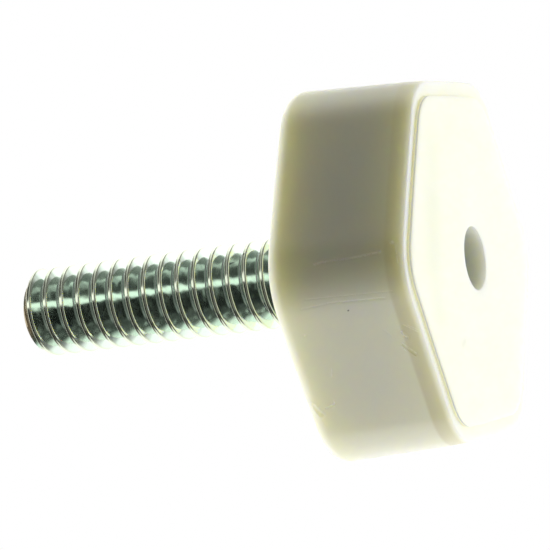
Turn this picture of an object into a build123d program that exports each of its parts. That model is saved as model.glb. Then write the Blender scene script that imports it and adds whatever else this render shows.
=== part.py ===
from build123d import *
import os
from math import cos, radians, tan

# Adjustable fridge foot: a hexagonal plastic foot moulded round the head of a steel levelling screw.
# Millimetres. The sole rests on Z = 0 and the screw points up along +Z, on the axis of the foot.
# Two of the foot's flats face +X and -X, and two of its corners face +Y and -Y.

# Moulded foot
across_flats = 25.0  # at the screw side, where the drafted sides are widest
corner_radius = 4.8  # of the six upright corners, at the screw side
side_height = 8.1  # drafted sides above the heel
side_draft = 2.9  # degrees, the sides narrow towards the sole
heel_height = 1.3  # band next to the sole that leans in further
heel_draft = 5.3  # degrees
top_edge_radius = 0.8  # rounding of the edge on the screw side
pad_rise = 0.15  # how far the wear pad stands below the heel
pad_margin = 1.0  # ledge left round the wear pad
pin_hole_diameter = 4.4  # left by the pin that holds the screw in the mould

# Levelling screw, 1/4 inch with 20 threads to the inch
thread_diameter = 6.25  # over the crests
thread_length = 23.1  # clear of the foot
lead_in_length = 0.6  # chamfer at the tip
lead_in_depth = 0.78  # down to the thread's root
neck_diameter = 5.5  # plain shank that the plastic grips
neck_length = 3.1

# Head of the screw, sealed inside the foot
head_across_flats = 11.1
head_height = 4.0
head_chamfer = 0.5  # bevel of the head's six corners, towards the sole

# Heights above the floor
heel_bottom = pad_rise
side_bottom = heel_bottom + heel_height
foot_height = side_bottom + side_height
head_top = foot_height - neck_length
head_bottom = head_top - head_height

# Width and corner rounding that both drafts leave at the heel's lower edge
side_inset = side_height * tan(radians(side_draft))
heel_inset = heel_height * tan(radians(heel_draft))
edge_across_flats = across_flats - 2 * (side_inset + heel_inset)
edge_corner_radius = corner_radius - side_inset - heel_inset


def rounded_hexagon(width, radius):
    """Draws a hexagon with the given width across flats and rounded corners, flats on +X and -X."""
    RegularPolygon(radius=width / 2, side_count=6, major_radius=False, rotation=30)
    fillet(vertices(), radius=radius)


# The levelling screw starts as a turned blank, and its head is then cut to a hexagon
with BuildPart() as levelling_screw:
    with BuildSketch(Plane.XY.offset(head_bottom)):
        Circle(head_across_flats / 2 / cos(radians(30)))
    extrude(amount=head_height)
    chamfer(edges().sort_by(Axis.Z)[0], length=head_chamfer)
    with BuildSketch(Plane.XY.offset(head_bottom)):
        RegularPolygon(radius=head_across_flats / 2, side_count=6, major_radius=False, rotation=30)
    extrude(amount=head_height, mode=Mode.INTERSECT)
    with BuildSketch(Plane.XY.offset(head_top)):
        Circle(neck_diameter / 2)
    extrude(amount=neck_length)
    with BuildSketch(Plane.XY.offset(foot_height)):
        Circle(thread_diameter / 2)
    extrude(amount=thread_length)
    chamfer(edges().sort_by(Axis.Z)[-1], length=lead_in_length, length2=lead_in_depth)
levelling_screw.part.label = "levelling_screw"

# The foot: drafted sides, the heel below them, the wear pad, and the screw's bed
with BuildPart() as hex_foot:
    with BuildSketch(Plane.XY.offset(foot_height)):
        rounded_hexagon(across_flats, corner_radius)
    extrude(amount=-side_height, taper=side_draft)
    fillet(faces().sort_by(Axis.Z)[-1].edges(), radius=top_edge_radius)
    extrude(faces().sort_by(Axis.Z)[0], amount=heel_height, taper=heel_draft)
    with BuildSketch(Plane.XY.offset(heel_bottom)):
        rounded_hexagon(edge_across_flats - 2 * pad_margin, edge_corner_radius - pad_margin)
    extrude(amount=-pad_rise)
    add(levelling_screw.part, mode=Mode.SUBTRACT)
    with BuildSketch(Plane.XY):
        Circle(pin_hole_diameter / 2)
    extrude(amount=head_bottom, mode=Mode.SUBTRACT)
hex_foot.part.label = "hex_foot"

os.makedirs("parts", exist_ok=True)
export_step(hex_foot.part, "parts/hex_foot.step")
export_step(levelling_screw.part, "parts/levelling_screw.step")
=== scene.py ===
"""Adjustable fridge foot: the visible foot and screw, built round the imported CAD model, and the studio.

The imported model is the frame: metres, the sole on Z = 0 and the screw pointing up along +Z. Both pieces
take the place of their CAD nodes and add what the solids leave out: the rolled thread, the small
roundings of the moulding, its crown and its wear.
"""

from math import cos, pi, radians, sin, tan

import bmesh
import bpy
import numpy as np
from bpy.props import FloatProperty, FloatVectorProperty, IntProperty, PointerProperty
from mathutils import Matrix, Vector


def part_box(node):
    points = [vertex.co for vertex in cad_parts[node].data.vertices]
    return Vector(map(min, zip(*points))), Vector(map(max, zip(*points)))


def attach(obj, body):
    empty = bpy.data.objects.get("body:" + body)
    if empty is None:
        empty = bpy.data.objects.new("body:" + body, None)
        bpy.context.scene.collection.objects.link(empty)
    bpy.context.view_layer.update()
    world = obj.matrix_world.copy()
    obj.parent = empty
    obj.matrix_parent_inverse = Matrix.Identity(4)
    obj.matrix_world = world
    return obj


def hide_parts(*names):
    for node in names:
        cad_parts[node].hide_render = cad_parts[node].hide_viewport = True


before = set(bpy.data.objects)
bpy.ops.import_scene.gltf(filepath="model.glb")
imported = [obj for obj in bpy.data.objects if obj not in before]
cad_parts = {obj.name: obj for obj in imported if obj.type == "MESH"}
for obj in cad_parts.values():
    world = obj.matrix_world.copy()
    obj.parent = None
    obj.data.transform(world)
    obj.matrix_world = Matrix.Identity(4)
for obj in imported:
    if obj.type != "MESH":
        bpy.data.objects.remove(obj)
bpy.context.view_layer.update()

bl_info = {
    "name": "Adjustable fridge foot",
    "version": (1, 0, 0),
    "blender": (4, 5, 0),
    "location": "View3D > Sidebar > Fridge foot",
    "description": "Builds a moulded hexagonal foot with its levelling screw, and a studio to show it in",
    "category": "Add Mesh",
}

MM = 0.001
HAIR = 0.002 * MM  # keeps the moulding inside the facets of the CAD solid
DOUBLES = 0.0004 * MM  # points closer than this are one point
SHARP = 0.001 * MM  # rounding of a corner that is drawn sharp
OVERLAP = 0.02 * MM  # how far the plastic reaches into the screw, so that no gap shows between them

foot_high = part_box("hex_foot")[1]
screw_low, screw_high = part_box("levelling_screw")


def linear(hex_colour):
    """An sRGB hex colour as the linear RGBA that Blender takes."""
    channels = [int(hex_colour[i:i + 2], 16) / 255 for i in (1, 3, 5)]
    return [c / 12.92 if c <= 0.04045 else ((c + 0.055) / 1.055) ** 2.4 for c in channels] + [1]


# Settings

class MouldedFootSettings(bpy.types.PropertyGroup):
    """Sizes of the plastic foot, as in the CAD source, its small roundings and its colour."""

    across_flats: FloatProperty(
        name="Across flats", description="Width of the hexagon at the screw side",
        default=25.0 * MM, min=10 * MM, unit="LENGTH", precision=5)
    corner_radius: FloatProperty(
        name="Corner radius", description="Rounding of the six upright corners, at the screw side",
        default=4.8 * MM, min=0.5 * MM, unit="LENGTH", precision=5)
    height: FloatProperty(
        name="Height", description="Height of the moulding above the floor",
        default=foot_high.z, min=4 * MM, unit="LENGTH", precision=5)
    side_draft: FloatProperty(
        name="Side draft", description="Lean of the sides, which narrow towards the sole",
        default=radians(2.9), min=0, max=radians(10), subtype="ANGLE")
    heel_top: FloatProperty(
        name="Heel top", description="Height of the ridge where the heel begins to lean in further",
        default=1.45 * MM, min=0.3 * MM, unit="LENGTH", precision=5)
    heel_draft: FloatProperty(
        name="Heel draft", description="Lean of the heel",
        default=radians(5.3), min=0, max=radians(20), subtype="ANGLE")
    top_rounding: FloatProperty(
        name="Top rounding", description="Radius of the edge on the screw side",
        default=1.0 * MM, min=0.1 * MM, unit="LENGTH", precision=5)
    rim_rounding: FloatProperty(
        name="Rim rounding", description="Radius of the edge between heel and ledge",
        default=0.11 * MM, min=0.02 * MM, unit="LENGTH", precision=5)
    pad_rise: FloatProperty(
        name="Pad rise", description="How far the wear pad stands below the ledge",
        default=0.15 * MM, min=0.02 * MM, unit="LENGTH", precision=5)
    pad_margin: FloatProperty(
        name="Pad margin", description="Width of the ledge round the wear pad",
        default=1.0 * MM, min=0.1 * MM, unit="LENGTH", precision=5)
    ledge_fall: FloatProperty(
        name="Ledge fall", description="How much deeper the ledge lies at the wear pad than at the rim",
        default=0.13 * MM, min=0, unit="LENGTH", precision=5)
    pin_hole: FloatProperty(
        name="Pin hole", description="Diameter of the blind hole in the sole",
        default=4.3 * MM, min=1 * MM, unit="LENGTH", precision=5)
    pin_shift: FloatProperty(
        name="Pin shift", description="How far the mould's pin stood off the axis, towards +Y",
        default=0.6 * MM, unit="LENGTH", precision=5)
    crown: FloatProperty(
        name="Crown", description="How much further in the corners lie than on a hexagon with plane flats",
        default=0.07 * MM, min=0, max=0.3 * MM, unit="LENGTH", precision=5)
    pigment: FloatVectorProperty(
        name="Pigment", description="Ivory of the plastic",
        default=linear("#F1F2E0"), size=4, min=0, max=1, subtype="COLOR")
    columns: IntProperty(
        name="Columns", description="Points round the moulding, a multiple of 12",
        default=360, min=72, max=720)


class LevellingScrewSettings(bpy.types.PropertyGroup):
    """Sizes of the steel screw, as in the CAD source, its rolled thread and its colour."""

    crest_diameter: FloatProperty(
        name="Crest diameter", description="Thread diameter over the crests",
        default=6.25 * MM, min=2 * MM, unit="LENGTH", precision=5)
    pitch: FloatProperty(
        name="Pitch", description="Distance from crest to crest, 20 threads to the inch",
        default=1.27 * MM, min=0.3 * MM, unit="LENGTH", precision=5)
    thread_depth: FloatProperty(
        name="Thread depth", description="From crest to root",
        default=0.78 * MM, min=0.1 * MM, unit="LENGTH", precision=5)
    crest_rounding: FloatProperty(
        name="Crest rounding", description="Radius of the crest's two edges",
        default=0.05 * MM, min=0.01 * MM, unit="LENGTH", precision=5)
    root_rounding: FloatProperty(
        name="Root rounding", description="Radius of the root",
        default=0.09 * MM, min=0.01 * MM, unit="LENGTH", precision=5)
    first_crest: FloatProperty(
        name="First crest", description="Height at which a crest crosses the +X side",
        default=14.3395 * MM, unit="LENGTH", precision=5)
    thread_start: FloatProperty(
        name="Thread start", description="Height inside the plastic where the thread leaves the neck",
        default=8.25 * MM, unit="LENGTH", precision=5)
    run_out: FloatProperty(
        name="Run-out", description="Length over which the thread grows out of the neck",
        default=0.9 * MM, min=0.1 * MM, unit="LENGTH", precision=5)
    neck_diameter: FloatProperty(
        name="Neck diameter", description="Plain shank inside the plastic",
        default=5.5 * MM, min=1 * MM, unit="LENGTH", precision=5)
    lead_in: FloatProperty(
        name="Lead-in", description="Length of the chamfer at the tip",
        default=0.6 * MM, min=0.1 * MM, unit="LENGTH", precision=5)
    head_across_flats: FloatProperty(
        name="Head across flats", description="Width of the hexagonal head sealed inside the foot",
        default=11.1 * MM, min=4 * MM, unit="LENGTH", precision=5)
    head_top: FloatProperty(
        name="Head top", description="Height of the head's face towards the neck",
        default=6.45 * MM, unit="LENGTH", precision=5)
    head_chamfer: FloatProperty(
        name="Head chamfer", description="Bevel of the head's corners, towards the sole",
        default=0.5 * MM, min=0.05 * MM, unit="LENGTH", precision=5)
    plating: FloatVectorProperty(
        name="Plating", description="Colour of the bright zinc under its passivation",
        default=linear("#E3EFE0"), size=4, min=0, max=1, subtype="COLOR")
    columns: IntProperty(
        name="Columns", description="Points round the screw, a multiple of 12",
        default=144, min=36, max=288)


class StudioSettings(bpy.types.PropertyGroup):
    """The camera at the photograph's viewing angle, and the light."""

    camera_place: FloatVectorProperty(
        name="Camera place", description="Where the camera stands, below the sole and in front",
        default=(-0.52 * MM, -186.97 * MM, -61.97 * MM), subtype="TRANSLATION")
    camera_right: FloatVectorProperty(
        name="Camera right", description="Direction that runs to the right in the picture",
        default=(-0.12491, 0.37539, -0.91841), subtype="DIRECTION")
    camera_up: FloatVectorProperty(
        name="Camera up", description="Direction that runs up in the picture",
        default=(0.99215, 0.04219, -0.1177), subtype="DIRECTION")
    lens: FloatProperty(
        name="Lens", description="Focal length on a 36 mm sensor",
        default=192.3, min=20, subtype="DISTANCE_CAMERA")
    floor_width: FloatProperty(
        name="Floor width", description="Side of the square floor",
        default=6.0, min=0.2, unit="LENGTH")
    paper: FloatVectorProperty(
        name="Paper", description="Colour of the floor",
        default=linear("#DADAD8"), size=4, min=0, max=1, subtype="COLOR")
    softbox_width: FloatProperty(
        name="Softbox width", description="Diameter of the round softboxes",
        default=0.25, min=0.02, unit="LENGTH")
    fill: FloatProperty(
        name="Fill", description="Strength of the light tent on matt surfaces",
        default=1.0, min=0)


# Mesh helpers

def hexagon(azimuths, half_width, inner):
    """Distance from the axis to a rounded hexagon with flats at 0, 60 and 120 degrees, and so on.

    The arcs of its corners are centred on the corners of a hexagon whose half width is inner.
    """
    off_flat = np.abs((azimuths + pi / 6) % (pi / 3) - pi / 6)
    off_corner = pi / 6 - off_flat
    centre = inner / cos(pi / 6)
    rounding = half_width - inner
    on_flat = half_width / np.cos(off_flat)
    reach = np.maximum(rounding ** 2 - (centre * np.sin(off_corner)) ** 2, 0)
    on_arc = centre * np.cos(off_corner) + np.sqrt(reach)
    return np.where(half_width * np.tan(off_flat) <= inner * tan(pi / 6), on_flat, on_arc)


def ring(azimuths, radii, height):
    """Points round the axis at one radius and height, or at a radius and height for each point."""
    across, along = radii * np.cos(azimuths), radii * np.sin(azimuths)
    return np.stack(np.broadcast_arrays(across, along, height), axis=1)


def smooth_step(x):
    """Rises from 0 to 1 with no kink at either end, as x goes from 0 to 1."""
    x = np.clip(x, 0, 1)
    return x * x * (3 - 2 * x)


def object_from(name, points, faces, sharp_angle):
    """A smooth-shaded mesh object at the origin, with doubled points merged and creases kept."""
    mesh = bpy.data.meshes.new(name)
    mesh.from_pydata(points.tolist(), [], faces)
    made = bmesh.new()
    made.from_mesh(mesh)
    bmesh.ops.remove_doubles(made, verts=made.verts, dist=DOUBLES)
    made.to_mesh(mesh)
    made.free()
    mesh.shade_smooth()
    mesh.set_sharp_from_angle(angle=sharp_angle)
    mesh.validate()
    piece = bpy.data.objects.new(name, mesh)
    bpy.context.scene.collection.objects.link(piece)
    return piece


# Form of the screw

FLANK_ANGLE = radians(60)  # of a flank to the axis


def thread_section(screw):
    """Half the rolled thread's section: distances along the axis from a crest to the next root, and depths.

    A narrow crest with rolled edges, a straight flank and a rounded root.
    """
    edge, root, depth = screw.crest_rounding, screw.root_rounding, screw.thread_depth
    run = (depth - (edge + root) * (1 - cos(FLANK_ANGLE))) / tan(FLANK_ANGLE)
    flat = screw.pitch / 2 - run - (edge + root) * sin(FLANK_ANGLE)
    turn = np.linspace(0, FLANK_ANGLE, 4)
    crest = np.stack([flat + edge * np.sin(turn), edge * (1 - np.cos(turn))], axis=1)
    valley = np.stack([screw.pitch / 2 - root * np.sin(turn), depth - root * (1 - np.cos(turn))], axis=1)
    valley = valley[::-1]
    # points near both ends of the flank keep its shading straight
    flank = [crest[-1] + (valley[0] - crest[-1]) * share for share in (0.05, 0.35, 0.65, 0.95)]
    return np.concatenate([[(0, 0)], crest, flank, valley]).T


def tip_radius(screw):
    """Radius of the flat end, where the lead-in has come down to the thread's root."""
    return screw.crest_diameter / 2 - screw.thread_depth


def screw_radius(screw, azimuths, heights):
    """Radius of the threaded screw: run-out inside the plastic, thread, and lead-in at the tip. heights is
    one height, or one for each azimuth."""
    turns = (heights - screw.first_crest) / screw.pitch - azimuths / (2 * pi)
    along = np.abs((turns + 0.5) % 1 - 0.5) * screw.pitch
    thread = screw.crest_diameter / 2 - np.interp(along, *thread_section(screw))
    grown = smooth_step((heights - screw.thread_start) / screw.run_out)
    radius = screw.neck_diameter / 2 * (1 - grown) + thread * grown
    lead_in = tip_radius(screw) + (screw_high.z - heights) * screw.thread_depth / screw.lead_in
    return np.minimum(radius, lead_in)


def head_outline(screw, azimuths, height):
    """Radius of the screw's head: a hexagon with a bevel at its corners, towards the sole."""
    half = screw.head_across_flats / 2
    bevel = half / cos(pi / 6) - screw.head_chamfer + height - screw_low.z
    return np.minimum(hexagon(azimuths, half, half - SHARP), bevel)


# Form of the foot

def arc_centres(foot):
    """Half width of the hexagon on which the corner arcs are centred, the same at every height."""
    return foot.across_flats / 2 - foot.corner_radius


def half_width_at(foot, height):
    """Half the width across flats of the drafted sides and the heel."""
    below_top = foot.height - np.maximum(height, foot.heel_top)
    side = foot.across_flats / 2 - HAIR - below_top * tan(foot.side_draft)
    return side - np.maximum(foot.heel_top - height, 0) * tan(foot.heel_draft)


def crowned(foot, azimuths):
    """What the distance from the axis is multiplied by, so that the flats are slightly crowned."""
    return 1 - foot.crown / foot.across_flats * (1 - np.cos(6 * azimuths))


def side_point(foot, azimuth, height):
    """A point on the sides, from an azimuth in degrees and a height in millimetres."""
    angle, height = radians(azimuth), height * MM
    radius = float(hexagon(np.array([angle]), half_width_at(foot, height), arc_centres(foot))[0])
    radius *= crowned(foot, angle)
    return Vector((radius * cos(angle), radius * sin(angle), height))


# Node helpers

def add(tree, kind, inputs=None, **settings):
    """Adds a node with its settings, and sets or links each input named."""
    made = tree.nodes.new("ShaderNode" + kind)
    for name, value in settings.items():
        setattr(made, name, value)
    for name, value in (inputs or {}).items():
        if isinstance(value, bpy.types.NodeSocket):
            tree.links.new(value, made.inputs[name])
        else:
            made.inputs[name].default_value = value
    return made


def new_material(name):
    """An empty material and its node tree."""
    material = bpy.data.materials.new(name)
    material.use_nodes = True
    material.node_tree.nodes.clear()
    return material, material.node_tree


def waves(size):
    """The scale of a noise texture whose patches are as wide as size, in millimetres."""
    return 1 / (size * MM)


def soft_mask(tree, *ramps):
    """The product of smooth ramps. Each is given as a value, and where on it the ramp is 0 and where 1."""
    mask = None
    for value, zero, one in ramps:
        ramp = add(tree, "MapRange", {"Value": value, "From Min": zero, "From Max": one},
                   interpolation_type="SMOOTHSTEP").outputs[0]
        if mask is None:
            mask = ramp
        else:
            mask = add(tree, "Math", {0: mask, 1: ramp}, operation="MULTIPLY").outputs[0]
    return mask


def strongest(tree, masks):
    """The largest of several masks."""
    total = masks[0]
    for mask in masks[1:]:
        total = add(tree, "Math", {0: total, 1: mask}, operation="MAXIMUM").outputs[0]
    return total


def line_mask(tree, position, start, end, half_width, strength):
    """The strength on the line from start to end, falling to 0 at half_width from it."""
    along = Vector(end) - Vector(start)
    from_start = add(tree, "VectorMath", {0: position, 1: start}, operation="SUBTRACT")
    share = add(tree, "VectorMath", {0: from_start.outputs[0], 1: along / along.length_squared},
                operation="DOT_PRODUCT")
    held = add(tree, "Clamp", {"Value": share.outputs["Value"]})
    nearest = add(tree, "VectorMath", {0: held.outputs[0], 1: along, 2: start}, operation="MULTIPLY_ADD")
    distance = add(tree, "VectorMath", {0: position, 1: nearest.outputs[0]}, operation="DISTANCE")
    fall = {"Value": distance.outputs["Value"], "From Min": half_width, "From Max": 0.0, "To Max": strength}
    return add(tree, "MapRange", fall, interpolation_type="SMOOTHSTEP").outputs[0]


def marks(tree, position, table, point):
    """All the marks of a table as one mask. point turns a place in the table into one on the surface."""
    return strongest(tree, [line_mask(tree, position, point(*start), point(*end), half_width * MM, strength)
                            for start, end, half_width, strength in table])


def layered(tree, base, layers):
    """Lays colours over a base. Each layer has a mask, a hex colour and a way of mixing."""
    for mask, hex_colour, blend_type in layers:
        base = add(tree, "MixRGB", {"Fac": mask, "Color1": base, "Color2": linear(hex_colour)},
                   blend_type=blend_type).outputs[0]
    return base


# Material of the foot

# Scratches and scuffs on the moulding's sides: azimuth in degrees and height in millimetres of each end,
# half width in millimetres, and strength
SCRATCHES = (
    ((273.6, 6.08), (274.04, 5.34), 0.15, 1.0),
    ((274.04, 5.34), (274.14, 3.66), 0.13, 0.8),
    ((274.14, 3.66), (274.75, 1.75), 0.14, 0.9),
    ((273.9, 5.42), (273.95, 5.36), 0.17, 1.0),
    ((274.8, 1.82), (274.85, 1.74), 0.17, 1.0),
    ((277.2, 1.00), (277.2, 0.90), 0.20, 0.7),
    ((276.2, 0.69), (271.4, 0.58), 0.09, 0.3),
    ((250.7, 1.47), (249.3, 1.41), 0.08, 1.0),
    ((249.3, 1.41), (248.2, 1.20), 0.09, 1.0),
    ((246.6, 1.61), (242.6, 0.98), 0.08, 0.7),
    ((245.6, 1.77), (243.7, 1.59), 0.08, 0.6),
    ((227.9, 8.05), (229.25, 7.40), 0.09, 0.9),
    ((229.25, 7.40), (230.1, 7.41), 0.08, 0.7),
    ((241.2, 6.78), (238.7, 6.95), 0.08, 0.35),
    ((253.7, 7.83), (253.7, 7.77), 0.12, 0.9),
    ((261.8, 7.45), (262.6, 5.44), 0.11, 0.2),
    ((262.6, 5.44), (262.0, 1.87), 0.11, 0.3),
    ((264.4, 7.02), (263.7, 1.24), 0.08, 0.2),
    ((252.8, 1.22), (249.7, 0.43), 0.08, 0.3),
    ((252.4, 0.95), (250.6, 0.45), 0.08, 0.25),
    ((252.0, 2.54), (249.6, 2.16), 0.08, 0.25),
)
# A dark speck on the sides, in the same form, and one on the sole, with a soft, faintly darker band over
# the sole's -Y side: there the places are X and Y in millimetres
SPECKS = (((259.6, 4.45), (259.7, 4.41), 0.08, 0.9),)
SOLE_SPECKS = (((-5.55, -4.2), (-5.35, -3.7), 0.45, 0.12),)
SOLE_BAND = (
    ((7.0, -5.5), (4.1, -6.6), 2.6, 0.6),
    ((4.1, -6.6), (0.2, -8.0), 2.8, 0.8),
    ((0.2, -8.0), (-3.0, -8.1), 2.4, 0.6),
)
# Sizes of the moulding's patterns in millimetres: clouds in the pigment, grain of the scratches, and waves
# of the mould's polish
CLOUDS, GRAIN, POLISH = 6.25, 1 / 9, 5 / 7
# Relief of the moulding: the height of the polish's waves, and how many times that the scratches are deep
POLISH_HEIGHT = 0.0012 * MM
SCRATCH_DEPTH = 55.0


def moulded_polypropylene(foot):
    """Ivory polypropylene, injection moulded: satin, and slightly translucent, so that light softens in it
    and its edges glow a warm cream."""
    material, tree = new_material("ivory_polypropylene_moulded")
    place = add(tree, "TexCoord").outputs["Object"]
    along = add(tree, "SeparateXYZ", {0: place}).outputs

    def on_side(azimuth, height):
        return side_point(foot, azimuth, height)

    def on_sole(x, y):
        return Vector((x * MM, y * MM, 0))

    # the pigment is slightly clouded
    clouds = add(tree, "TexNoise", {"Vector": place, "Scale": waves(CLOUDS), "Detail": 2.0})
    base = add(tree, "MixRGB", {
        "Fac": clouds.outputs[0], "Color1": foot.pigment, "Color2": linear("#EBEBD6")})

    # painted shade: the heel is painted a little darker and browner, most of all on its -X side
    heel = soft_mask(tree, (along["Z"], foot.heel_top + 0.1 * MM, foot.heel_top - 0.15 * MM),
                     (along["Z"], 0.25 * MM, 0.6 * MM))
    shade_side = add(tree, "MapRange", {
        "Value": along["X"], "From Min": 2 * MM, "From Max": -3 * MM, "To Min": 0.25})
    heel_shade = add(tree, "Math", {0: heel, 1: shade_side.outputs[0]}, operation="MULTIPLY").outputs[0]
    # a faintly darker band over the sole's -Y side
    sole_band = marks(tree, place, SOLE_BAND, on_sole)

    # painted shade: the wear pad's low wall is painted grey; the pin hole's wall is tinted a cooler grey
    pad_wall_shade = soft_mask(tree, (along["Z"], 0.03 * MM, 0.06 * MM),
                      (along["Z"], foot.pad_rise, foot.pad_rise - 0.02 * MM))
    from_pin = add(tree, "VectorMath", {0: place, 1: (0, foot.pin_shift, 0)}, operation="SUBTRACT")
    across = add(tree, "VectorMath", {0: from_pin.outputs[0], 1: (1, 1, 0)}, operation="MULTIPLY")
    off_pin = add(tree, "VectorMath", {0: across.outputs[0]}, operation="LENGTH").outputs["Value"]
    wall = foot.pin_hole / 2
    hole_tint = soft_mask(tree, (off_pin, wall + 0.08 * MM, wall + 0.02 * MM),
                      (along["Z"], 0.02 * MM, 0.1 * MM))
    specked = strongest(tree, [marks(tree, place, SPECKS, on_side),
                               marks(tree, place, SOLE_SPECKS, on_sole)])

    # scratches and scuffs, where the surface has whitened, broken up by a fine grain
    grain = add(tree, "TexNoise", {"Vector": place, "Scale": waves(GRAIN), "Detail": 1.0})
    ragged = soft_mask(tree, (grain.outputs[0], 0.25, 0.5))
    scratched = marks(tree, place, SCRATCHES, on_side)
    worn = add(tree, "Math", {0: scratched, 1: ragged}, operation="MULTIPLY").outputs[0]

    colour = layered(tree, base.outputs[0], (
        # painted shade on the heel
        (heel_shade, "#EFECE5", "MULTIPLY"),
        (sole_band, "#F3F5F1", "MULTIPLY"),
        # painted shade on the wear pad's wall
        (pad_wall_shade, "#C6C9CB", "MIX"),
        # the pin hole's wall, tinted a cooler grey
        (hole_tint, "#E4E6E3", "MIX"),
        (specked, "#5E5C4C", "MIX"),
        (worn, "#FFFFF6", "MIX"),
    ))
    # faint waviness of the mould's polish, and the scratches cut into it
    polish = add(tree, "TexNoise", {"Vector": place, "Scale": waves(POLISH), "Detail": 2.0})
    relief = add(tree, "Math", {0: worn, 1: -SCRATCH_DEPTH, 2: polish.outputs[0]}, operation="MULTIPLY_ADD")
    bump = add(tree, "Bump", {"Height": relief.outputs[0], "Strength": 1.0, "Distance": POLISH_HEIGHT})
    shader = add(tree, "BsdfPrincipled", {
        "Base Color": colour, "Roughness": 0.34, "IOR": 1.49, "Normal": bump.outputs[0],
        "Subsurface Weight": 0.88, "Subsurface Radius": (1.0, 0.9, 0.43), "Subsurface Scale": 3.1 * MM})
    add(tree, "OutputMaterial", {"Surface": shader.outputs[0]})
    return material


# Material of the screw

# Dirt caught in the thread: azimuth in degrees, distance from the axis and height in millimetres of each
# end, then half width in millimetres, and strength
DIRT = (
    ((316.0, 3.1, 15.56), (316.5, 3.0, 15.66), 0.17, 1.0),
    ((316.5, 3.0, 15.66), (322.0, 2.75, 15.9), 0.14, 0.8),
)
# Sizes of the steel's patterns in millimetres: patches of the passivation, wobble of the flanks, and the
# length and the spacing of the lines that the rolling dies leave, which are drawn coarser than they are, so
# that they show
PATCHES, WOBBLE, LINE_LENGTH, LINE_SPACING = 10 / 7, 10 / 17, 10 / 9, 1 / 8
# Relief of the steel: the height of the drawn lines, and how many times that the wobble is high
LINE_HEIGHT = 0.01 * MM
WOBBLE_HEIGHT = 13.0


def zinc_plated_steel(screw):
    """Carbon steel with a rolled thread, bright zinc plated: smooth, faintly green from its passivation,
    with fine drawn lines and a slight wobble round the flanks."""
    material, tree = new_material("steel_rolled_zinc_plated")
    place = add(tree, "TexCoord").outputs["Object"]
    height = add(tree, "SeparateXYZ", {0: place}).outputs["Z"]

    def in_thread(azimuth, radius, z):
        angle = radians(azimuth)
        return Vector((radius * cos(angle), radius * sin(angle), z)) * MM

    # the passivation's colour comes and goes in patches
    patches = add(tree, "TexNoise", {"Vector": place, "Scale": waves(PATCHES), "Detail": 3.0}).outputs[0]
    base = add(tree, "MixRGB", {"Fac": patches, "Color1": linear("#D6EADD"), "Color2": screw.plating})
    # the crests are tinted a little darker and browner than the flanks
    from_axis = add(tree, "VectorMath", {0: place, 1: (1, 1, 0)}, operation="MULTIPLY")
    radius = add(tree, "VectorMath", {0: from_axis.outputs[0]}, operation="LENGTH").outputs["Value"]
    crest = screw.crest_diameter / 2
    crest_tint = soft_mask(tree, (radius, crest - 0.16 * MM, crest - 0.02 * MM))
    # the lead-in has lost its brightness to brown dirt
    tip = soft_mask(tree, (height, screw_high.z - 0.75 * MM, screw_high.z - 0.5 * MM), (patches, 0.25, 0.5))
    colour = layered(tree, base.outputs[0], (
        (crest_tint, "#D9E2CB", "MIX"),
        (tip, "#CDBF9F", "MIX"),
        (marks(tree, place, DIRT, in_thread), "#1A1C16", "MIX"),
    ))
    clean = add(tree, "MapRange", {
        "Value": patches, "From Min": 0.3, "From Max": 0.7, "To Min": 0.09, "To Max": 0.15})
    roughness = add(tree, "Math", {0: tip, 1: 0.2, 2: clean.outputs[0]}, operation="MULTIPLY_ADD")
    # fine lines round the thread, over a slight wobble of its flanks
    stretch = (waves(LINE_LENGTH), waves(LINE_LENGTH), waves(LINE_SPACING))
    stretched = add(tree, "Mapping", {"Vector": place, "Scale": stretch})
    lines = add(tree, "TexNoise", {"Vector": stretched.outputs[0], "Scale": 1.0, "Detail": 2.0})
    wobble = add(tree, "TexNoise", {"Vector": place, "Scale": waves(WOBBLE), "Detail": 0.0})
    relief = add(tree, "Math", {0: wobble.outputs[0], 1: WOBBLE_HEIGHT, 2: lines.outputs[0]},
                 operation="MULTIPLY_ADD")
    bump = add(tree, "Bump", {"Height": relief.outputs[0], "Strength": 0.12, "Distance": LINE_HEIGHT})
    shader = add(tree, "BsdfPrincipled", {
        "Base Color": colour, "Metallic": 1.0, "Roughness": roughness.outputs[0],
        "Normal": bump.outputs[0]})
    add(tree, "OutputMaterial", {"Surface": shader.outputs[0]})
    return material


# The moulded foot

# Nicks knocked into the moulding: azimuth in degrees and height in millimetres of each end, then half
# width, depth and the burr raised beside it, in millimetres
NICKS = (
    ((250.5, 1.44), (248.3, 1.15), 0.06, 0.03, 0.03),
    ((246.1, 1.68), (241.9, 1.02), 0.06, 0.04, 0.04),
    ((229.4, 8.9), (226.2, 8.55), 0.13, 0.07, 0.06),
    ((227.9, 8.05), (229.25, 7.40), 0.07, 0.02, 0.02),
)
# Where the burr stands beside its nick, and how wide it is, in half widths of the nick
BURR_PLACE, BURR_WIDTH = 1.7, 0.6
# Spacing of the rings down the sides in millimetres, and the parts of the moulding with finer points for
# the nicks: from and to, and the spacing there, in degrees and in millimetres
SIDE_SPACING = 0.22
FINE_AZIMUTHS = ((240.5, 252.5, 0.25), (222.5, 231.5, 0.3))
FINE_HEIGHTS = ((0.7, 1.8, 0.05), (7.2, 8.4, 0.07))

# Rings of the top face, of the wear pad and of the pin hole, as shares of the way across or up
TOP_SHARES = (0, 0.04, 0.1, 0.2, 0.35, 0.55, 0.75, 0.9)
PAD_SHARES = (0.03, 0.08, 0.16, 0.28, 0.42, 0.58, 0.74, 0.88, 0.96)
HOLE_SHARES = (0.15, 0.35, 0.6, 0.85, 1)
# Rings in the rounding of the top face, of the rim, of the wear pad and of the pin hole's mouth, and in the
# plastic that follows the thread
TOP_STEPS, RIM_STEPS, PAD_STEPS, LIP_STEPS, THREAD_STEPS = 14, 8, 5, 6, 20
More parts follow.
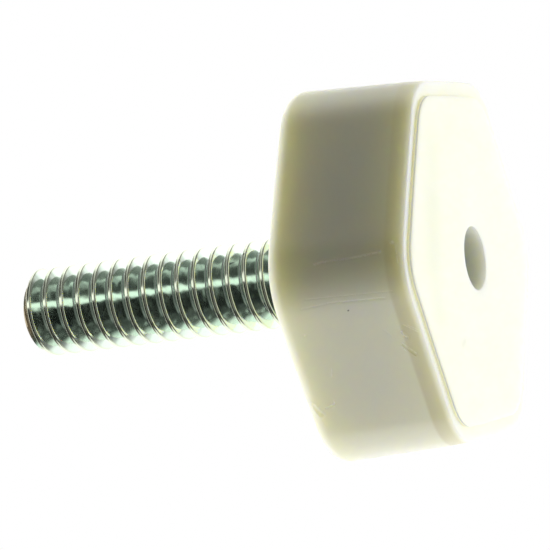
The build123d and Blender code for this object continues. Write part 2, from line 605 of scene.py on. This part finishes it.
# The ledge: millimetres out from the wear pad, and how much of its fall is reached there
LEDGE = ((0.78, 0.05), (0.55, 0.35), (0.3, 0.68), (0.1, 0.94), (0.04, 0.99), (0.01, 0.95), (0, 0.85))
PAD_ROUNDING = 0.05 * MM
HOLE_ROUNDING = 0.06 * MM


def with_finer_parts(coarse, parts):
    """The coarse values, with those inside each part replaced by finer ones."""
    kept = [v for v in coarse if not any(low <= v <= high for low, high, _ in parts)]
    fine = [v for low, high, spacing in parts for v in np.arange(low, high + spacing / 2, spacing)]
    return np.array(sorted(kept + fine))


def rounded_edge(azimuths, foot, centre, radius, start, end, steps):
    """Rings of an edge rounding, round a centre given as (half width, height), between two angles."""
    for angle in np.linspace(radians(start), radians(end), steps):
        outline = hexagon(azimuths, centre[0] + radius * cos(angle), arc_centres(foot))
        yield ring(azimuths, outline, centre[1] + radius * sin(angle))


def top_rings(foot, screw, azimuths):
    """The top face, from the thread out to its edge, and the edge's rounding."""
    start = foot.height - foot.top_rounding
    centre = (half_width_at(foot, start) - foot.top_rounding / cos(foot.side_draft), start)
    tilt = np.degrees(foot.side_draft)
    mouth = screw_radius(screw, azimuths, foot.height) - OVERLAP
    edge = hexagon(azimuths, centre[0], arc_centres(foot))
    for share in TOP_SHARES:
        yield ring(azimuths, mouth + (edge - mouth) * share, foot.height)
    yield from rounded_edge(azimuths, foot, centre, foot.top_rounding, 90, -tilt, TOP_STEPS)


def side_rings(foot, azimuths):
    """The drafted sides and the heel, down to the rim, and the rim's rounding."""
    rim = foot.pad_rise + foot.rim_rounding
    centre = (half_width_at(foot, rim) - foot.rim_rounding / cos(foot.heel_draft), rim)
    tilt = np.degrees(foot.heel_draft)
    top = foot.height - foot.top_rounding * (1 + sin(foot.side_draft))
    low = rim - foot.rim_rounding * sin(foot.heel_draft)
    heights = with_finer_parts(np.arange(low / MM, top / MM, SIDE_SPACING)[1:], FINE_HEIGHTS)
    for height in sorted({*heights, foot.heel_top / MM}, reverse=True):
        half_width = half_width_at(foot, height * MM)
        yield ring(azimuths, hexagon(azimuths, half_width, arc_centres(foot)), height * MM)
    yield from rounded_edge(azimuths, foot, centre, foot.rim_rounding, -tilt, -90, RIM_STEPS)


def sole_rings(foot, azimuths):
    """The ledge, dished towards the foot of the wear pad, the pad, and the pin hole up to the screw."""
    pad = half_width_at(foot, foot.pad_rise) - foot.pad_margin
    for out, fall in LEDGE:
        outline = hexagon(azimuths, pad + out * MM, arc_centres(foot))
        yield ring(azimuths, outline, foot.pad_rise + fall * foot.ledge_fall)
    centre = (pad - PAD_ROUNDING, PAD_ROUNDING)
    yield from rounded_edge(azimuths, foot, centre, PAD_ROUNDING, 0, -90, PAD_STEPS)

    wall, lip = foot.pin_hole / 2, HOLE_ROUNDING
    shift = np.array([0, foot.pin_shift, 0])
    edge = ring(azimuths, hexagon(azimuths, pad - PAD_ROUNDING, arc_centres(foot)), 0)
    mouth = ring(azimuths, wall + lip, 0) + shift
    for share in PAD_SHARES:
        yield edge + (mouth - edge) * share
    for angle in np.linspace(-pi / 2, -pi, LIP_STEPS):
        yield ring(azimuths, wall + lip + lip * cos(angle), lip + lip * sin(angle)) + shift
    for share in HOLE_SHARES:
        yield ring(azimuths, wall, lip + (screw_low.z - lip) * share) + shift


def bed_rings(foot, screw, azimuths):
    """The bed of the screw's head and neck, and the plastic moulded into its thread."""
    for height in np.array([0, 0.5, 1]) * screw.head_chamfer + screw_low.z:
        yield ring(azimuths, head_outline(screw, azimuths, height), height)
    yield ring(azimuths, head_outline(screw, azimuths, screw.head_top), screw.head_top)
    for height in (screw.head_top, screw.thread_start):
        yield ring(azimuths, screw.neck_diameter / 2, height)
    # without the first and the last, because the neck and the top face have those
    for height in np.linspace(screw.thread_start, foot.height, THREAD_STEPS)[1:-1]:
        yield ring(azimuths, screw_radius(screw, azimuths, height) - OVERLAP, height)


def foot_rings(foot, screw):
    """Rings of the moulding, each joined to the next and the last to the first: over the top, down the
    sides, in over the sole, up the pin hole, and round the screw's head back up its thread."""
    degrees = with_finer_parts(np.arange(0, 360, 360 / foot.columns), FINE_AZIMUTHS)
    azimuths = np.radians(degrees)
    shell = [*top_rings(foot, screw, azimuths), *side_rings(foot, azimuths), *sole_rings(foot, azimuths)]
    for outline in shell:
        outline[:, :2] *= crowned(foot, azimuths)[:, None]
    return np.array([*shell, *bed_rings(foot, screw, azimuths)])


def carve(points, foot):
    """Knocks the nicks into the sides, each with a burr along it."""
    for start, end, half_width, depth, burr in NICKS:
        a, b = (np.array(side_point(foot, *p)) for p in (start, end))
        share = np.clip((points - a) @ (b - a) / ((b - a) @ (b - a)), 0, 1)
        distance = np.linalg.norm(points - a - share[:, None] * (b - a), axis=1) / (half_width * MM)
        raised = burr * np.exp(-((distance - BURR_PLACE) / BURR_WIDTH) ** 2)
        inward = depth * np.exp(-distance ** 2) - raised
        normal = (a + b) / 2
        normal[2] = 0
        points -= (inward * MM)[:, None] * normal / np.linalg.norm(normal)
    return points


class FRIDGE_FOOT_OT_mould_foot(bpy.types.Operator):
    """Moulds the hexagonal foot round the screw's head"""

    bl_idname = "fridge_foot.mould_foot"
    bl_label = "Mould the foot"

    def execute(self, context):
        foot, screw = context.scene.moulded_foot, context.scene.levelling_screw
        rings = foot_rings(foot, screw)
        count, columns = rings.shape[:2]
        index = np.arange(count * columns).reshape(count, columns)
        below, beside = np.roll(index, -1, axis=0), np.roll(index, -1, axis=1)
        faces = np.stack([index, below, np.roll(below, -1, axis=1), beside], axis=2).reshape(-1, 4)
        points = carve(rings.reshape(-1, 3), foot)
        piece = object_from("foot_moulding", points, faces.tolist(), sharp_angle=radians(40))
        piece.data.materials.append(moulded_polypropylene(foot))
        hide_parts("hex_foot")
        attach(piece, "root")
        return {"FINISHED"}


# The levelling screw

# The dimpled end: shares of its radius, and how far below the tip it lies there, in millimetres
DIMPLE = ((0.001, 0.14), (0.25, 0.135), (0.5, 0.11), (0.7, 0.07), (0.85, 0.02), (0.93, 0.0), (1.0, 0.0))
HEAD_RADII = (4, 2.2, 1, 0.005)  # rings of the head's underside, in millimetres


def end_rows(screw, azimuths):
    """The dimpled end, from its middle outwards."""
    return np.array([ring(azimuths, tip_radius(screw) * share, screw_high.z - hollow * MM)
                     for share, hollow in DIMPLE])


def thread_rows(screw, azimuths):
    """Rows of points that follow the thread down from the tip, so that each row keeps its place in the
    thread's section. Returns the points and the number of rows in one pitch."""
    along = thread_section(screw)[0] / screw.pitch
    shares = np.concatenate([along, 1 - along[-2:0:-1]])
    # a few turns more than the screw has, so that each column reaches from the tip to the thread's start
    pitches = int((screw_high.z - screw.thread_start) / screw.pitch) + 4
    crests_up = int((screw_high.z - screw.first_crest) / screw.pitch) + 1
    top_crest = screw.first_crest + screw.pitch * crests_up
    rows = []
    for turn in range(pitches):
        for share in shares:
            heights = top_crest - screw.pitch * (turn + share) + screw.pitch * azimuths / (2 * pi)
            heights = np.clip(heights, screw.thread_start, screw_high.z)
            rows.append(ring(azimuths, screw_radius(screw, azimuths, heights), heights))
    return np.array(rows), len(shares)


def head_rows(screw, azimuths):
    """The neck and the head, down to the middle of the head's underside."""
    rows = [ring(azimuths, screw.neck_diameter / 2, z) for z in (screw.thread_start, screw.head_top)]
    rows.append(ring(azimuths, head_outline(screw, azimuths, screw.head_top), screw.head_top))
    for height in np.array([1, 0.5, 0]) * screw.head_chamfer + screw_low.z:
        rows.append(ring(azimuths, head_outline(screw, azimuths, height), height))
    rows += [ring(azimuths, radius * MM, screw_low.z) for radius in HEAD_RADII]
    return np.array(rows)


def faces_between(rows, first, climb):
    """Faces between rows whose points are numbered from first. At the seam, where the thread has climbed a
    turn, a row meets the one that is climb rows above it."""
    count, columns = rows.shape[:2]
    index = first + np.arange(count * columns).reshape(count, columns)
    beside = np.roll(index, -1, axis=1)
    if climb:
        beside[:, -1] = np.concatenate([index[:climb, 0], index[:-climb, 0]])
    quads = np.stack([index[:-1], index[1:], beside[1:], beside[:-1]], axis=2)
    if climb:
        # the first turn has none above it, so its faces at the seam shrink to a point and are left out
        quads[:climb, -1] = quads[:climb, -1, :1]
    return [quad for quad in quads.reshape(-1, 4).tolist() if len(set(quad)) == 4]


class FRIDGE_FOOT_OT_roll_screw(bpy.types.Operator):
    """Rolls the levelling screw, with its thread, neck and hexagonal head"""

    bl_idname = "fridge_foot.roll_screw"
    bl_label = "Roll the screw"

    def execute(self, context):
        screw = context.scene.levelling_screw
        azimuths = np.arange(screw.columns) * 2 * pi / screw.columns
        thread, rows_a_pitch = thread_rows(screw, azimuths)
        faces, points, first = [], [], 0
        for rows, climb in ((end_rows(screw, azimuths), 0), (thread, rows_a_pitch),
                            (head_rows(screw, azimuths), 0)):
            faces += faces_between(rows, first, climb)
            points.append(rows.reshape(-1, 3))
            first += len(points[-1])
        piece = object_from("screw_threaded", np.concatenate(points), faces, sharp_angle=radians(50))
        piece.data.materials.append(zinc_plated_steel(screw))
        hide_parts("levelling_screw")
        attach(piece, "root")
        return {"FINISHED"}


# The studio

# How bright the light tent is: round the object, by azimuth in degrees from the front (-Y) towards +X, then
# on its floor, with the sines of the elevations where its sides turn into the floor, then on its top. Its
# front is open and dark, as in a room with the camera in it.
TENT_FILL = ((
    (-180, 0.4), (-150, 0.4), (-120, 0.6), (-90, 3.0), (-60, 1.0), (-35, 0.0), (74, 0.0), (88, 0.5),
    (106, 2.9), (126, 1.7), (150, 0.4), (180, 0.4)), 0.2, (-0.3, -0.75), 0.1)
# What polished metal mirrors. The light that a turn of the thread turns to the camera comes from below 20
# degrees of elevation by its back flank, from 20 to 26 degrees by its crest, and from above that by its
# groove, which so shows the one bright lamp that stands at the upper front.
TENT_LOW = ((
    (-180, 1.4), (-114, 1.2), (-106, 0.8), (-99, 0.25), (-92, 0.06), (-66, 0.06), (-50, 0.26), (-20, 0.15),
    (14, 0.15), (50, 0.15), (80, 0.16), (100, 0.16), (124, 0.3), (136, 0.45), (148, 1.4), (180, 1.4)),
    0.2, (-0.55, -0.8), 0.9)
TENT_CREST = ((
    (-180, 1.4), (-112, 1.4), (-95, 1.3), (-84, 0.8), (-77, 0.1), (-64, 0.05), (-57, 0.15), (0, 0.15),
    (11, 0.2), (18, 1.1), (34, 1.1), (44, 0.5), (80, 0.55), (100, 1.1), (116, 1.5), (180, 1.5)),
    0.2, (-0.55, -0.8), 0.9)
TENT_HIGH = ((
    (-180, 1.4), (-112, 1.4), (-97, 0.2), (-90, 0.06), (-50, 0.01), (8, 0.01), (13, 0.1), (18, 1.5),
    (31, 1.5), (39, 0.1), (54, 0.05), (66, 0.08), (90, 0.1), (104, 0.5), (116, 1.3), (180, 1.4)),
    0.2, (-0.55, -0.8), 0.9)
# The sines of the elevations where the sides turn into the top, and where a table takes over from the one
# below it
TENT_TOP = (0.61, 0.72)
MIRRORED = ((TENT_CREST, (0.31, 0.35)), (TENT_HIGH, (0.42, 0.445)))

# Round softboxes: place in metres and power in watts. They stand over and behind the foot, so that the two
# flats towards the camera stay in the shade, as in the photograph.
SOFTBOXES = (
    ("softbox_overhead", (0.0, 0.0, 0.4), 1.7),
    ("softbox_sole", (-0.07, 0.17, -0.34), 1.5),
)

FLOOR_GAP = 0.02 * MM  # keeps the floor clear of the sole
PAPER_GLOW = 0.25  # brings the paper near to white with no more light
WHITE_OUT = (0.06, 0.3)  # the paper turns into the white background between these distances, in metres
SENSOR = 36  # width of the camera's sensor in millimetres
NEAREST = 0.01  # closest distance that the camera sees, in metres


def grey(level):
    """A grey of this linear brightness."""
    return (level,) * 3 + (1,)


def tent(tree, azimuth, height, table):
    """The tent's brightness in a direction, from the azimuth and the sine of the elevation."""
    sides, below, edge, above = table
    ramp = add(tree, "ValToRGB", {"Fac": azimuth})
    stops = ramp.color_ramp.elements
    for number, (degrees, level) in enumerate(sides):
        place = degrees / 360 + 0.5
        # a new ramp has two stops already
        stop = stops[number] if number < 2 else stops.new(place)
        stop.position = place
        stop.color = grey(level)
    lower = add(tree, "MixRGB", {
        "Fac": soft_mask(tree, (height, *edge)), "Color1": ramp.outputs[0], "Color2": grey(below)})
    return add(tree, "MixRGB", {
        "Fac": soft_mask(tree, (height, *TENT_TOP)), "Color1": lower.outputs[0],
        "Color2": grey(above)}).outputs[0]


def build_world(studio):
    """A light tent: white to the camera, and open at its front to what mirrors it."""
    world = bpy.data.worlds.new("light_tent")
    world.use_nodes = True
    tree = world.node_tree
    tree.nodes.clear()
    direction = add(tree, "SeparateXYZ", {0: add(tree, "TexCoord").outputs["Generated"]})
    front = add(tree, "Math", {0: direction.outputs["Y"], 1: -1.0}, operation="MULTIPLY")
    angle = add(tree, "Math", {0: direction.outputs["X"], 1: front.outputs[0]}, operation="ARCTAN2")
    turned = add(tree, "MapRange", {"Value": angle.outputs[0], "From Min": -pi, "From Max": pi})
    azimuth, height = turned.outputs[0], direction.outputs["Z"]
    fill = add(tree, "MixRGB", {
        "Fac": 1.0, "Color1": tent(tree, azimuth, height, TENT_FILL), "Color2": grey(studio.fill)},
        blend_type="MULTIPLY")
    mirrored = tent(tree, azimuth, height, TENT_LOW)
    for table, edge in MIRRORED:
        mirrored = add(tree, "MixRGB", {
            "Fac": soft_mask(tree, (height, *edge)), "Color1": mirrored,
            "Color2": tent(tree, azimuth, height, table)}).outputs[0]
    path = add(tree, "LightPath").outputs
    shiny = strongest(tree, [path["Is Glossy Ray"], path["Is Transmission Ray"]])
    lit = add(tree, "MixRGB", {"Fac": shiny, "Color1": fill.outputs[0], "Color2": mirrored})
    seen = add(tree, "MixRGB", {
        "Fac": path["Is Camera Ray"], "Color1": lit.outputs[0], "Color2": linear("#FFFFFF")})
    background = add(tree, "Background", {"Color": seen.outputs[0], "Strength": 1.0})
    add(tree, "OutputWorld", {"Surface": background.outputs[0]})
    world.cycles.sampling_method = "MANUAL"
    world.cycles.sample_map_resolution = 512
    bpy.context.scene.world = world


def floor_paper(studio):
    """Matt white paper. It is seen from above only, so the camera below the sole looks past it, and the
    sole is lit as if the foot were lifted."""
    material, tree = new_material("paper_white_matt")
    path = add(tree, "LightPath").outputs
    behind = add(tree, "NewGeometry").outputs["Backfacing"]
    clear = strongest(tree, [behind, path["Is Diffuse Ray"], path["Is Glossy Ray"], path["Is Shadow Ray"]])
    matt = add(tree, "BsdfDiffuse", {"Color": studio.paper})
    glow = add(tree, "Emission", {"Color": linear("#FFFFFF"), "Strength": PAPER_GLOW})
    paper = add(tree, "AddShader", {0: matt.outputs[0], 1: glow.outputs[0]})
    away = add(tree, "VectorMath", {0: add(tree, "TexCoord").outputs["Object"]}, operation="LENGTH")
    far = soft_mask(tree, (away.outputs["Value"], *WHITE_OUT))
    white = add(tree, "Emission", {"Color": linear("#FFFFFF"), "Strength": 1.0})
    faded = add(tree, "MixShader", {"Fac": far, 1: paper.outputs[0], 2: white.outputs[0]})
    through = add(tree, "BsdfTransparent")
    mixed = add(tree, "MixShader", {"Fac": clear, 1: faded.outputs[0], 2: through.outputs[0]})
    add(tree, "OutputMaterial", {"Surface": mixed.outputs[0]})
    # the white is there to be seen, and isn't a lamp
    material.cycles.emission_sampling = "NONE"
    return material


class FRIDGE_FOOT_OT_set_stage(bpy.types.Operator):
    """Sets up the floor, the light and the camera"""

    bl_idname = "fridge_foot.set_stage"
    bl_label = "Set the stage"

    def execute(self, context):
        studio, scene = context.scene.studio, context.scene
        half = studio.floor_width / 2
        corners = ((-half, -half), (half, -half), (half, half), (-half, half))
        mesh = bpy.data.meshes.new("floor_paper")
        mesh.from_pydata([(x, y, -FLOOR_GAP) for x, y in corners], [], [(0, 1, 2, 3)])
        floor = bpy.data.objects.new("floor_paper", mesh)
        floor.data.materials.append(floor_paper(studio))
        scene.collection.objects.link(floor)

        build_world(studio)

        for name, place, power in SOFTBOXES:
            lamp = bpy.data.lights.new(name, "AREA")
            lamp.shape, lamp.size, lamp.energy = "DISK", studio.softbox_width, power
            softbox = bpy.data.objects.new(name, lamp)
            softbox.location = place
            softbox.rotation_euler = Vector(place).to_track_quat("Z", "Y").to_euler()
            softbox.visible_camera = softbox.visible_glossy = False
            scene.collection.objects.link(softbox)

        data = bpy.data.cameras.new("photo_camera")
        data.lens, data.sensor_width, data.clip_start = studio.lens, SENSOR, NEAREST
        camera = bpy.data.objects.new("photo_camera", data)
        right, up = Vector(studio.camera_right).normalized(), Vector(studio.camera_up).normalized()
        back = right.cross(up)
        turned = Matrix((right, back.cross(right), back)).transposed()
        camera.matrix_world = Matrix.Translation(studio.camera_place) @ turned.to_4x4()
        scene.collection.objects.link(camera)
        scene.camera = camera
        scene.view_settings.view_transform = "Standard"
        return {"FINISHED"}


# Panel and registration

class FRIDGE_FOOT_PT_panel(bpy.types.Panel):
    """Lists the pieces and the stage"""

    bl_label = "Fridge foot"
    bl_idname = "FRIDGE_FOOT_PT_panel"
    bl_space_type = "VIEW_3D"
    bl_region_type = "UI"
    bl_category = "Fridge foot"

    def draw(self, context):
        for group, operator in (("moulded_foot", "fridge_foot.mould_foot"),
                                ("levelling_screw", "fridge_foot.roll_screw"),
                                ("studio", "fridge_foot.set_stage")):
            settings = getattr(context.scene, group)
            box = self.layout.box()
            for name in settings.bl_rna.properties.keys():
                if name not in ("rna_type", "name"):
                    box.prop(settings, name)
            box.operator(operator)


SETTINGS = {"moulded_foot": MouldedFootSettings, "levelling_screw": LevellingScrewSettings,
            "studio": StudioSettings}
CLASSES = (*SETTINGS.values(), FRIDGE_FOOT_OT_mould_foot, FRIDGE_FOOT_OT_roll_screw,
           FRIDGE_FOOT_OT_set_stage, FRIDGE_FOOT_PT_panel)


def register():
    """Makes the settings, the operators and the panel known."""
    for cls in CLASSES:
        bpy.utils.register_class(cls)
    for name, cls in SETTINGS.items():
        setattr(bpy.types.Scene, name, PointerProperty(type=cls))


def unregister():
    """Takes them out again."""
    for name in SETTINGS:
        delattr(bpy.types.Scene, name)
    for cls in reversed(CLASSES):
        bpy.utils.unregister_class(cls)


def main():
    """Builds the foot, the screw and the stage."""
    register()
    bpy.ops.fridge_foot.mould_foot()
    bpy.ops.fridge_foot.roll_screw()
    bpy.ops.fridge_foot.set_stage()


if __name__ == "__main__":
    main()
